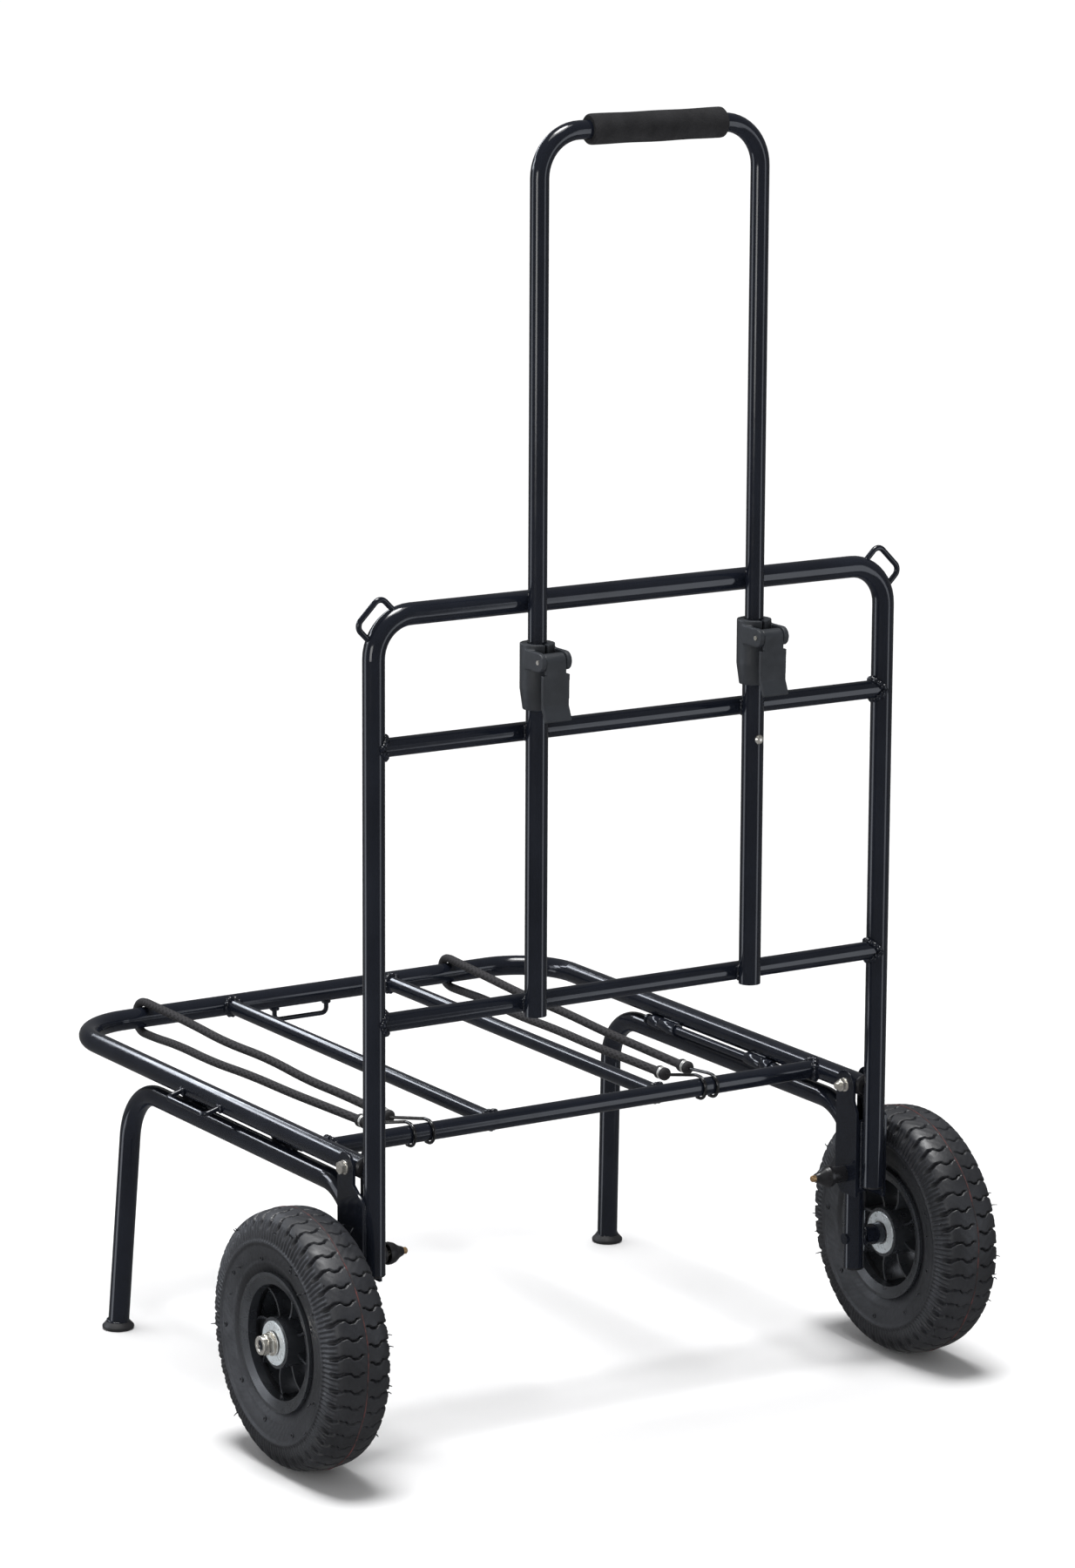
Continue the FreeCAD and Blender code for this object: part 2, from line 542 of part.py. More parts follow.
def tyre_section(c, bead, heel, bulge, shoulder, crown):
    """Closed outline through (x, radius) points: bead toe, top of the bead, side, shoulder; crown is a radius."""
    def at(x, r):
        return V(c.x + x, c.y, c.z + r)
    edges = []
    for s in (1, -1):
        toe, top = at(s * bead[0], bead[1]), at(s * heel[0], heel[1])
        side, corner = at(s * bulge[0], bulge[1]), at(s * shoulder[0], shoulder[1])
        edges.append(Part.makeLine(toe, top))
        edges.append(Part.Arc(top, side, corner).toShape())
    edges.append(Part.Arc(corner, at(0, crown), at(shoulder[0], shoulder[1])).toShape())
    edges.append(Part.makeLine(at(bead[0], bead[1]), toe))
    return Part.Face(Part.Wire(Part.__sortEdges__(edges)))


def tyre(c):
    seat = RIM_R - 8.0
    outer = tyre_section(c, (21.9, seat), (22.8, 61.0), (TYRE_W / 2, 82.0), (24.0, 107.0), WHEEL_R)
    inner = tyre_section(c, (12.5, seat - 0.6), (17.5, 62.0), (TYRE_W / 2 - 5, 82.0), (18.0, 101.0), WHEEL_R - 8)
    return outer.revolve(c, X, 360).cut(inner.revolve(c, X, 360))


def inner_tube(c):
    """Thin-walled tube with its valve stem; the stem's bore opens into the air space."""
    floor = RIM_R - 7.4
    skin = tyre_section(c, (12.0, floor), (17.0, 62.5), (TYRE_W / 2 - 5.6, 82.0), (17.5, 100.4), WHEEL_R - 8.6)
    air = tyre_section(c, (10.8, floor + 1.3), (15.7, 63.0), (TYRE_W / 2 - 6.9, 82.0), (16.6, 99.4), WHEEL_R - 9.9)
    stem = rod(valve_at(c, 27.5), valve_at(c, floor + 0.6), 3.2)
    bore = rod(valve_at(c, 20), valve_at(c, floor + 4), 1.2)
    return skin.revolve(c, X, 360).fuse(stem).cut([air.revolve(c, X, 360), bore])


# ---- elastic cords ------------------------------------------------------------------------------
def fitted_radii(points):
    """Each arc as large as its two runs allow."""
    radii = []
    for a, b, c in zip(points, points[1:], points[2:]):
        shorter = min((b - a).Length, (c - b).Length)
        half_turn = (math.pi - (a - b).getAngle(c - b)) / 2
        radii.append(0.45 * shorter / math.tan(half_turn))
    return radii


# Each cord: from its upper crimp forward, round the front rail, and back underneath to its lower crimp.
CORDS = {
    "left": [(-173.0, 129, 264.6), (-172.2, 188, 265.4), (-174.0, 255, 264.7), (-172.2, 330, 267.5),
             (-174.2, 405, 265.6), (-172.8, 470, 267.9), (-174.0, 533, 269.4), (-175.0, 572.3, 270.2),
             (-176.5, 572.3, 240.8), (-178.0, 534, 241.6), (-180.2, 482, 246.0), (-184.2, 410, 247.2),
             (-187.8, 335, 253.0), (-191.0, 255, 255.4), (-193.6, 188, 259.0), (-195.5, 129, 261.8)],
    "right": [(137.5, 131, 264.6), (138.2, 190, 265.4), (141.9, 260, 264.7), (143.6, 335, 267.4),
              (148.2, 405, 265.6), (149.8, 470, 267.9), (153.0, 533, 269.4), (155.0, 572.3, 270.2),
              (157.0, 572.3, 240.8), (155.6, 534, 241.8), (150.4, 482, 245.8), (141.2, 410, 247.4),
              (133.0, 335, 252.8), (125.4, 260, 255.2), (118.4, 190, 259.2), (113.8, 131, 261.6)],
}
# Where each hook's wire crosses the rear rail: first the upper strand's, then the lower strand's.
HOOK_X = {"left": (-152.0, -171.0), "right": (141.0, 128.0)}


def make_cords():
    crimps, hooks = [], []
    for name, route in CORDS.items():
        points = [V(*p) for p in route]
        radii = fitted_radii(points)
        path = bent_path(points, radii)
        cord = swept(path, CORD_R)
        expected = math.pi * CORD_R ** 2 * path.Length
        print(name, "cord", round(path.Length, 1), "radii", [round(r) for r in radii],
              "volume ratio", round(cord.Volume / expected, 4))
        save("bungee_cord_" + name, cord)
        ends = ((points[0], points[1]), (points[-1], points[-2]))
        for (end, inner), rail_x in zip(ends, HOOK_X[name]):
            back = end + (end - inner).normalize() * CRIMP_LENGTH
            crimps.append(rod(end, back, CRIMP_R))
            hooks.append(wire_hook(end, back, rail_x).cut(crimps[-1]))
    save("bungee_crimps", *crimps)
    save("bungee_hooks", *hooks)


def wire_hook(crimp_front, start, rail_x):
    """Wire from inside a crimp that goes over the platform's rear rail and hooks under it."""
    r = RAIL_R + WIRE_R + 0.4
    y, z = REAR_RAIL_Y, PLATFORM_Z
    points = [start, V(rail_x, y + 6, z + r), V(rail_x, y - r, z + r), V(rail_x, y - r, z - r),
              V(rail_x, y + 4, z - r)]
    return bent_rod(points, [5.0, r - 0.2, r - 0.2], WIRE_R)


def main():
    os.makedirs("parts", exist_ok=True)
    make_backrest()
    make_handle()
    make_clamps()
    make_brackets()
    make_platform()
    make_leg()
    make_axle()
    make_wheel()
    make_cords()
    for name, shape in NODES.items():
        shape.translate(V(0, -MIDDLE_Y, 0))
        shape.exportStep("parts/" + name + ".step")
        print(name, len(shape.Solids), shape.isValid(), round(shape.Volume))


main()
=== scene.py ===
"""Looks of the folding luggage cart: camera, studio, materials and the detailed pieces round the CAD frame.

Lengths in the design tables are millimetres, in the cart's own frame: x to the right of a person behind the
handle, y forward from the backrest's plane, z up from the floor. at() turns them into the scene's metres.
"""
import json
import math
import random

import bpy
import numpy as np
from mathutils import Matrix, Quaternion, Vector


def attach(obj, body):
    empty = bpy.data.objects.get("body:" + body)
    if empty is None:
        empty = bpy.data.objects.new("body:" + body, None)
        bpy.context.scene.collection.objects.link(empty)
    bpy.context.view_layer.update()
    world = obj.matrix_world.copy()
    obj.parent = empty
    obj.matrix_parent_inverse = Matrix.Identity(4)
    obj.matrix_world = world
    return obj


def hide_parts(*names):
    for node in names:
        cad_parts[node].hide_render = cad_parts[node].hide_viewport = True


# ---- driving dimensions; the CAD has the same ones ----------------------------------------------
MIDDLE_Y = 241.0                             # design y of the scene's origin
FRAME_R, RAIL_R, SLAT_R = 9.5, 8.0, 7.0      # tubes
HALF_WIDTH = 256.5                           # middle of the uprights, side rails and leg tubes
CROSS_RAIL_Y, CROSS_RAILS_Z = -0.6, (383.5, 617.5)
HANDLE_X, HANDLE_Y, HANDLE_TOP = 109.0, -17.8, 1119.0
GRIP_FROM, GRIP_TO = -62.0, 70.0
PLATFORM_Z, PLATFORM_FRONT = 255.5, 558.0
REAR_RAIL_Y, SLAT_X = 86.0, 86.0
LEG_Z, LEG_FRONT_Y = 231.9, 428.0
FOOT_X, FOOT_Y, FOOT_H = 265.0, 446.0, 7.0
PIVOT_Y = 27.0                               # platform bolts, rear leg tubes and axles
WHEEL_R, WHEEL_X, AXLE_NECK_R = 112.5, 312.0, 7.0
CORD_R, CRIMP_R = 4.0, 6.0
SIDES = (("left", -1), ("right", 1))

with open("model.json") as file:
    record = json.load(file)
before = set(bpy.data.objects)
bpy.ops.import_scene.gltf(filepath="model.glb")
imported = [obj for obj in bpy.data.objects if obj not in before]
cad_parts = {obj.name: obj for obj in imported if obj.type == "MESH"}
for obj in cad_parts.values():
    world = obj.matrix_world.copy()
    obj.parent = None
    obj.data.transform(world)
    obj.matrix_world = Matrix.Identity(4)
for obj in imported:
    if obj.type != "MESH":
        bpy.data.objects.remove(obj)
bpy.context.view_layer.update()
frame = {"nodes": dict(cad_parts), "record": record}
nodes = frame["nodes"]
rng = random.Random(7)
materials = {}


def at(x, y, z):
    """Design millimetres to scene metres."""
    return Vector((x / 1000, (y - MIDDLE_Y) / 1000, z / 1000))


# ---- camera and studio, in the scene's metres ---------------------------------------------------
LENS, SENSOR = 128.64, 36.0                  # millimetres
CAMERA_PLACE = (-2.5466, -4.1371, 1.5562)
CAMERA_WAY = (0.52047, 0.82780, -0.20942)
CAMERA_ROLL = 0.285                          # degrees

COOL_LIGHT = (0.86, 0.91, 1.0)
DOME_FILL, DOME_REFLECTED = 0.30, 0.16       # the dome's strength; seen directly it is pure white
SUN_POWER, SUN_SPREAD = 2.75, 25             # spread in degrees, for soft contact shadows
FLOOR_HALF = 60


def make_camera():
    cam = bpy.data.objects.new("camera", bpy.data.cameras.new("camera"))
    bpy.context.scene.collection.objects.link(cam)
    cam.data.lens = LENS
    cam.data.sensor_width = SENSOR
    cam.data.clip_end = 50
    cam.location = CAMERA_PLACE
    look = Vector(CAMERA_WAY).to_track_quat("-Z", "Y")
    cam.rotation_mode = "QUATERNION"
    cam.rotation_quaternion = look @ Quaternion((0, 0, 1), math.radians(CAMERA_ROLL))
    bpy.context.scene.camera = cam


def hang_light(name, lamp, way):
    """Put a lamp in the scene, shining along a direction."""
    obj = bpy.data.objects.new(name, lamp)
    bpy.context.scene.collection.objects.link(obj)
    obj.rotation_mode = "QUATERNION"
    obj.rotation_quaternion = Vector(way).to_track_quat("-Z", "Y")
    return obj


def area_light(name, place, target, size, power, diffuse=True):
    """Rectangular light that the camera can't see; without diffuse it makes cool highlights only."""
    lamp = bpy.data.lights.new(name, "AREA")
    lamp.shape, lamp.size, lamp.size_y, lamp.energy = "RECTANGLE", size[0], size[1], power
    if not diffuse:
        lamp.color = COOL_LIGHT
    obj = hang_light(name, lamp, Vector(target) - Vector(place))
    obj.location = place
    obj.visible_camera = False
    obj.visible_diffuse = diffuse


def make_dome(scene):
    """White surroundings that are darker in reflections, so that gloss black stays black."""
    world = bpy.data.worlds.new("studio")
    scene.world = world
    world.use_nodes = True
    tree = world.node_tree
    back = tree.nodes["Background"]
    path = tree.nodes.new("ShaderNodeLightPath")
    level = tree.nodes.new("ShaderNodeMapRange")
    level.inputs["To Min"].default_value = DOME_FILL
    level.inputs["To Max"].default_value = DOME_REFLECTED
    tree.links.new(path.outputs["Is Glossy Ray"], level.inputs["Value"])
    seen = tree.nodes.new("ShaderNodeMath")
    seen.operation = "MAXIMUM"
    tree.links.new(level.outputs["Result"], seen.inputs[0])
    tree.links.new(path.outputs["Is Camera Ray"], seen.inputs[1])
    tree.links.new(seen.outputs["Value"], back.inputs["Strength"])
    back.inputs["Color"].default_value = (1, 1, 1, 1)


def make_floor(scene):
    h = FLOOR_HALF
    floor = bpy.data.meshes.new("floor")
    floor.from_pydata([(-h, -h, 0), (h, -h, 0), (h, h, 0), (-h, h, 0)], [], [(0, 1, 2, 3)])
    new_material("floor_white", (0.93, 0.93, 0.935), 0.75, specular=0.2)
    floor.materials.append(materials["floor_white"])
    obj = bpy.data.objects.new("floor", floor)
    obj.visible_glossy = False
    scene.collection.objects.link(obj)


def make_studio():
    scene = bpy.context.scene
    scene.view_settings.view_transform = "Standard"
    scene.view_settings.look = "None"
    make_dome(scene)
    area_light("back_strip", (-0.6, 3.3, 2.3), (0, 0.1, 0.3), (3.0, 0.22), 24, diffuse=False)
    area_light("shoulder_box", (-2.4, 2.2, 1.9), (-0.2, 0, 0.2), (0.9, 0.9), 22, diffuse=False)
    area_light("top_box", (-0.3, -0.4, 3.3), (0, 0, 0.4), (1.6, 1.2), 24)
    area_light("side_fill", (-2.8, -1.6, 0.9), (-0.1, -0.1, 0.3), (1.0, 1.0), 15)
    area_light("left_bank", (-2.8, 1.5, 0.3), (0, 0, 0.4), (1.2, 3.2), 25, diffuse=False)
    area_light("right_bank", (1.9, -2.7, 0.2), (0, 0, 0.3), (0.9, 2.8), 14, diffuse=False)
    sun = bpy.data.lights.new("sun", "SUN")
    sun.energy, sun.angle = SUN_POWER, math.radians(SUN_SPREAD)
    hang_light("sun", sun, (0.03, -0.05, -1.0))
    make_floor(scene)


# ---- materials ----------------------------------------------------------------------------------
NOISE_LOW, NOISE_HIGH = 0.3, 0.7             # where most values of a noise texture lie


def new_material(name, colour, rough, metallic=0.0, coat=0.0, specular=0.5):
    """Make a material, file it under its name, and return its node tree and shader."""
    mat = bpy.data.materials.new(name)
    mat.use_nodes = True
    shader = mat.node_tree.nodes["Principled BSDF"]
    shader.inputs["Base Color"].default_value = (*colour, 1)
    shader.inputs["Roughness"].default_value = rough
    shader.inputs["Metallic"].default_value = metallic
    shader.inputs["Coat Weight"].default_value = coat
    shader.inputs["Coat Roughness"].default_value = 0.06
    shader.inputs["Specular IOR Level"].default_value = specular
    materials[name] = mat
    return mat.node_tree, shader


def lay_on_object(tree, texture):
    """Let a texture follow the object's own coordinates."""
    place = tree.nodes.new("ShaderNodeTexCoord")
    tree.links.new(place.outputs["Object"], texture.inputs["Vector"])


def noise(tree, scale, detail=3.0, rough=0.55):
    tex = tree.nodes.new("ShaderNodeTexNoise")
    tex.inputs["Scale"].default_value = scale
    tex.inputs["Detail"].default_value = detail
    tex.inputs["Roughness"].default_value = rough
    lay_on_object(tree, tex)
    return tex.outputs["Fac"]


def cells(tree, scale):
    tex = tree.nodes.new("ShaderNodeTexVoronoi")
    tex.inputs["Scale"].default_value = scale
    lay_on_object(tree, tex)
    return tex.outputs["Distance"]


def roughen(tree, shader, value, low, high):
    """Let a texture value move the roughness between low and high."""
    node = tree.nodes.new("ShaderNodeMapRange")
    node.inputs["From Min"].default_value = NOISE_LOW
    node.inputs["From Max"].default_value = NOISE_HIGH
    node.inputs["To Min"].default_value = low
    node.inputs["To Max"].default_value = high
    tree.links.new(value, node.inputs["Value"])
    tree.links.new(node.outputs["Result"], shader.inputs["Roughness"])


def tint(tree, shader, value, dark, light, start=NOISE_LOW, end=NOISE_HIGH):
    """Let a texture value move the colour from dark to light."""
    ramp = tree.nodes.new("ShaderNodeValToRGB")
    ramp.color_ramp.elements[0].position, ramp.color_ramp.elements[1].position = start, end
    ramp.color_ramp.elements[0].color = (*dark, 1)
    ramp.color_ramp.elements[1].color = (*light, 1)
    tree.links.new(value, ramp.inputs["Fac"])
    tree.links.new(ramp.outputs["Color"], shader.inputs["Base Color"])


def bump(tree, shader, *layers):
    """Stack bump layers of (height value, strength, distance in metres)."""
    last = None
    for value, strength, distance in layers:
        node = tree.nodes.new("ShaderNodeBump")
        node.inputs["Strength"].default_value = strength
        node.inputs["Distance"].default_value = distance
        tree.links.new(value, node.inputs["Height"])
        if last:
            tree.links.new(last, node.inputs["Normal"])
        last = node.outputs["Normal"]
    tree.links.new(last, shader.inputs["Normal"])


def make_paint_and_metals():
    tree, shader = new_material("frame_paint", (0.008, 0.009, 0.015), 0.14)
    roughen(tree, shader, noise(tree, 55, 5), 0.09, 0.15)
    tint(tree, shader, noise(tree, 18), (0.0064, 0.0080, 0.0130), (0.0100, 0.0122, 0.0190))
    bump(tree, shader, (noise(tree, 160, 2), 0.05, 0.0002))

    tree, shader = new_material("zinc_fasteners", (0.74, 0.71, 0.66), 0.2, metallic=0.78)
    roughen(tree, shader, noise(tree, 120, 4), 0.14, 0.24)
    tint(tree, shader, noise(tree, 60), (0.62, 0.59, 0.52), (0.80, 0.78, 0.74))
    bump(tree, shader, (noise(tree, 900, 2), 0.04, 0.0002))

    tree, shader = new_material("hub_zinc", (0.74, 0.80, 0.84), 0.3, metallic=0.5)
    roughen(tree, shader, noise(tree, 160, 5), 0.2, 0.42)
    tint(tree, shader, noise(tree, 90), (0.74, 0.80, 0.83), (0.84, 0.89, 0.92))
    bump(tree, shader, (noise(tree, 300, 2), 0.04, 0.0002))

    tree, shader = new_material("bearing_steel", (0.55, 0.55, 0.56), 0.3, metallic=0.7)
    roughen(tree, shader, noise(tree, 250), 0.22, 0.4)

    tree, shader = new_material("plunger_brass", (0.42, 0.27, 0.14), 0.32, metallic=0.7)
    roughen(tree, shader, noise(tree, 400), 0.22, 0.42)


def make_plastics():
    tree, shader = new_material("clamp_plastic", (0.023, 0.027, 0.033), 0.5)
    roughen(tree, shader, noise(tree, 90, 5), 0.44, 0.62)
    tint(tree, shader, noise(tree, 30), (0.019, 0.0225, 0.028), (0.027, 0.031, 0.038))
    bump(tree, shader, (noise(tree, 1500, 2), 0.35, 0.00025))

    tree, shader = new_material("plug_plastic", (0.012, 0.012, 0.014), 0.3)
    roughen(tree, shader, noise(tree, 120, 4), 0.24, 0.40)
    bump(tree, shader, (noise(tree, 900, 2), 0.15, 0.0002))

    tree, shader = new_material("rim_plastic", (0.020, 0.022, 0.026), 0.3, specular=0.8)
    roughen(tree, shader, noise(tree, 80, 5), 0.22, 0.38)
    tint(tree, shader, noise(tree, 25), (0.018, 0.020, 0.024), (0.028, 0.031, 0.036))
    bump(tree, shader, (noise(tree, 1100, 2), 0.18, 0.0002))

    tree, shader = new_material("grip_foam", (0.010, 0.010, 0.011), 0.95, specular=0.25)
    tint(tree, shader, noise(tree, 60, 4), (0.014, 0.014, 0.0155), (0.025, 0.025, 0.027))
    bump(tree, shader, (cells(tree, 1300), 0.7, 0.0005), (noise(tree, 260, 4), 0.4, 0.0006))


def make_rubbers():
    tree, shader = new_material("tyre_rubber", (0.014, 0.0145, 0.017), 0.5, specular=0.6)
    roughen(tree, shader, noise(tree, 45, 6, 0.65), 0.36, 0.62)
    tint(tree, shader, noise(tree, 22, 6, 0.6), (0.0100, 0.0110, 0.0140), (0.023, 0.0245, 0.0300))
    bump(tree, shader, (noise(tree, 500, 4), 0.35, 0.0004), (noise(tree, 2600, 2), 0.25, 0.0002))

    tree, shader = new_material("mould_flash", (0.050, 0.026, 0.024), 0.65)
    tint(tree, shader, noise(tree, 120, 5), (0.026, 0.019, 0.020), (0.120, 0.030, 0.028), 0.40, 0.62)
    bump(tree, shader, (noise(tree, 700, 4), 0.5, 0.0004))

    tree, shader = new_material("foot_rubber", (0.018, 0.018, 0.020), 0.6)
    roughen(tree, shader, noise(tree, 90, 4), 0.5, 0.72)
    bump(tree, shader, (noise(tree, 800, 3), 0.35, 0.0003))

    tree, shader = new_material("tube_rubber", (0.015, 0.015, 0.016), 0.55)
    bump(tree, shader, (noise(tree, 600, 3), 0.25, 0.0003))


def make_cord_looks():
    tree, shader = new_material("cord_wire", (0.008, 0.008, 0.009), 0.16, coat=0.5)
    roughen(tree, shader, noise(tree, 200, 3), 0.12, 0.26)
    bump(tree, shader, (noise(tree, 500, 2), 0.2, 0.0003))

    tree, shader = new_material("cord_crimps", (0.03, 0.03, 0.033), 0.4)
    roughen(tree, shader, noise(tree, 300, 3), 0.3, 0.5)
    make_braid()

    tree, shader = new_material("cord_wrap", (0.018, 0.018, 0.020), 0.7, specular=0.35)
    tint(tree, shader, cells(tree, 1100), (0.010, 0.010, 0.011), (0.034, 0.033, 0.036), 0.1, 0.6)
    bump(tree, shader, (cells(tree, 1100), 0.6, 0.0004), (noise(tree, 500, 3), 0.3, 0.0003))

    tree, shader = new_material("staple_steel", (0.74, 0.74, 0.72), 0.3, metallic=0.6)
    roughen(tree, shader, noise(tree, 500, 3), 0.22, 0.4)


def make_braid():
    """Woven sheath: two sets of strands that wind opposite ways round the cord and cross."""
    tree, shader = new_material("cord_braid", (0.022, 0.021, 0.023), 0.75, specular=0.35)
    uv = tree.nodes.new("ShaderNodeTexCoord").outputs["UV"]
    waves = []
    for turn in (1, -1):
        mapping = tree.nodes.new("ShaderNodeMapping")
        mapping.inputs["Scale"].default_value = (150.0, 8.0 * turn, 1)
        tree.links.new(uv, mapping.inputs["Vector"])
        wave = tree.nodes.new("ShaderNodeTexWave")
        wave.wave_type, wave.bands_direction, wave.wave_profile = "BANDS", "DIAGONAL", "SIN"
        wave.inputs["Scale"].default_value = 0.5
        wave.inputs["Distortion"].default_value = 0.4
        tree.links.new(mapping.outputs["Vector"], wave.inputs["Vector"])
        waves.append(wave.outputs["Fac"])
    both = tree.nodes.new("ShaderNodeMath")
    both.operation = "MAXIMUM"
    tree.links.new(waves[0], both.inputs[0])
    tree.links.new(waves[1], both.inputs[1])
    tint(tree, shader, both.outputs["Value"], (0.010, 0.010, 0.011), (0.036, 0.034, 0.037), 0.3, 0.95)
    bump(tree, shader, (both.outputs["Value"], 0.6, 0.0004), (noise(tree, 900, 3), 0.3, 0.0003))


# ---- mesh helpers -------------------------------------------------------------------------------
def add_mesh(name, verts, faces, body, slot, look=None):
    """Smooth piece that rides on a body; look names its material where that isn't the slot's own."""
    mesh = bpy.data.meshes.new(name)
    mesh.from_pydata([tuple(v) for v in verts], [], faces)
    mesh.polygons.foreach_set("use_smooth", [True] * len(mesh.polygons))
    mesh.materials.append(materials[look or slot])
    obj = bpy.data.objects.new(name, mesh)
    bpy.context.scene.collection.objects.link(obj)
    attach(obj, body)
    return obj


def grid_faces(rows, columns, close_rows=False, close_columns=False):
    faces = []
    for i in range(rows if close_rows else rows - 1):
        for j in range(columns if close_columns else columns - 1):
            a, b = i * columns, (i + 1) % rows * columns
            k = (j + 1) % columns
            faces.append((a + j, a + k, b + k, b + j))
    return faces


def tube_along(points, radii, sides=10, closed=False):
    """Verts and faces of a tube whose radius may change from point to point."""
    points = [Vector(p) for p in points]
    count = len(points)
    verts, normal = [], None
    for i, p in enumerate(points):
        if closed:
            ahead = points[(i + 1) % count] - points[i - 1]
        else:
            ahead = points[min(i + 1, count - 1)] - points[max(i - 1, 0)]
        ahead.normalize()
        if normal is None:
            normal = ahead.orthogonal().normalized()
        normal = (normal - ahead * normal.dot(ahead)).normalized()
        across = ahead.cross(normal)
        for k in range(sides):
            turn = 2 * math.pi * k / sides
            verts.append(p + (normal * math.cos(turn) + across * math.sin(turn)) * radii[i])
    faces = grid_faces(count, sides, close_rows=closed, close_columns=True)
    if not closed:
        faces += [tuple(reversed(range(sides))), tuple(range((count - 1) * sides, count * sides))]
    return verts, faces


def joined(parts):
    verts, faces = [], []
    for some_verts, some_faces in parts:
        base = len(verts)
        verts += some_verts
        faces += [tuple(base + i for i in face) for face in some_faces]
    return verts, faces


# ---- weld beads ---------------------------------------------------------------------------------
X_WAY, Y_WAY, Z_WAY = (1, 0, 0), (0, 1, 0), (0, 0, 1)
BEAD_STEP = 0.7            # spacing of a bead's sections
BEAD_GAP = 0.7             # from the skin of the tube to the middle of a bead
RAIL_POINT_X = 200         # any point of a cross rail that is clear of its joints
SLAT_POINT_Y = 300         # the same of a slat
AXLE_POINT_X = 290         # and of an axle
SIDE_LOOP_Y, SIDE_LOOP_POINT_X = (250, 318), 275       # both ends of a tie loop's wire, and a point on them
FRONT_LOOP_X, FRONT_LOOP_POINT_Z = (-37, 19), 240
LOOP_BEAD_R = 2.3          # a bead round a loop's wire, before the allowance that every ring has
KNUCKLE_WELD_X = 251.2
# Seams of the hinge knuckles, as (from y, to y, z, slope).
KNUCKLE_WELDS = ((145, 158, 239.6, -1), (326, 343, 239.6, -1), (158.6, 184, 247.8, 1), (300, 325, 247.8, 1))


def bead(path, radius, closed=False):
    """Lumpy weld bead: overlapping puddles along a path, in design millimetres."""
    points = [Vector(p) for p in path]
    if closed:
        points.append(points[0])
    steps = [0.0]
    for a, b in zip(points, points[1:]):
        steps.append(steps[-1] + (b - a).length)
    length = steps[-1]
    count = max(6, int(length / BEAD_STEP))
    pitch = radius * rng.uniform(1.3, 1.6)
    phase = rng.uniform(0, 6)
    middles, radii = [], []
    for i in range(count if closed else count + 1):
        s = length * i / count
        k = max(j for j in range(len(steps) - 1) if steps[j] <= s + 1e-9)
        f = (s - steps[k]) / max(steps[k + 1] - steps[k], 1e-9)
        jitter = Vector([rng.uniform(-0.12, 0.12) * radius for _ in range(3)])
        middles.append(at(*(points[k].lerp(points[k + 1], f) + jitter)))
        taper = 1.0 if closed else min(1.0, 0.55 + 0.6 * min(s, length - s) / radius)
        puddle = abs(math.sin(math.pi * s / pitch + phase))
        radii.append(radius * taper * (0.72 + 0.36 * puddle + rng.uniform(-0.08, 0.08)) / 1000)
    return tube_along(middles, radii, sides=9, closed=closed)


def ring_bead(rod, tube, radius, count=40):
    """Bead round a rod, just outside the line where its skin meets the tube that it is welded to.

    Rod and tube are (point on the axis, direction, radius), and the rod's direction runs to the tube.
    """
    (rod_at, rod_way, rod_r), (tube_at, tube_way, tube_r) = rod, tube
    way, axis = Vector(rod_way).normalized(), Vector(tube_way).normalized()
    rod_r += 0.25 * math.sqrt(rod_r)
    e1 = way.orthogonal().normalized()
    e2 = way.cross(e1)
    step = way - axis * way.dot(axis)
    path = []
    for i in range(count):
        turn = 2 * math.pi * i / count
        start = Vector(rod_at) + (e1 * math.cos(turn) + e2 * math.sin(turn)) * rod_r
        gap = start - Vector(tube_at)
        gap -= axis * gap.dot(axis)
        a, b, c = step.dot(step), 2 * gap.dot(step), gap.dot(gap) - tube_r ** 2
        root = max(b * b - 4 * a * c, 0.0)
        path.append(start + way * ((-b - math.sqrt(root)) / (2 * a) - BEAD_GAP))
    return bead(path, radius, closed=True)


def backrest_beads(k):
    """One side's cross rails and sleeve, and the pivot bracket along the upright."""
    beads = []
    upright = ((k * HALF_WIDTH, 0, 0), Z_WAY, FRAME_R)
    for z in CROSS_RAILS_Z:
        rail = ((k * RAIL_POINT_X, CROSS_RAIL_Y, z), (k, 0, 0), RAIL_R)
        beads.append(ring_bead(rail, upright, 3.0))
        for side in (-1, 1):                 # along both sides of the sleeve
            x = k * HANDLE_X + side * 5.6
            beads.append(bead([(x, -9.4, z - 6.5), (x, -8.2, z), (x, -9.4, z + 6.5)], 2.0))
    for side in (-1, 1):                     # down both edges of the bracket
        x = k * HALF_WIDTH + side * 8.0
        beads.append(bead([(x, 6.6, 163), (x, 6.4, 196), (x, 6.6, 225)], 1.6))
    beads.append(bead([(k * 266.0, -1.6, 160), (k * 266.2, -1.4, 195), (k * 266.0, -1.6, 228)], 1.4))
    return beads


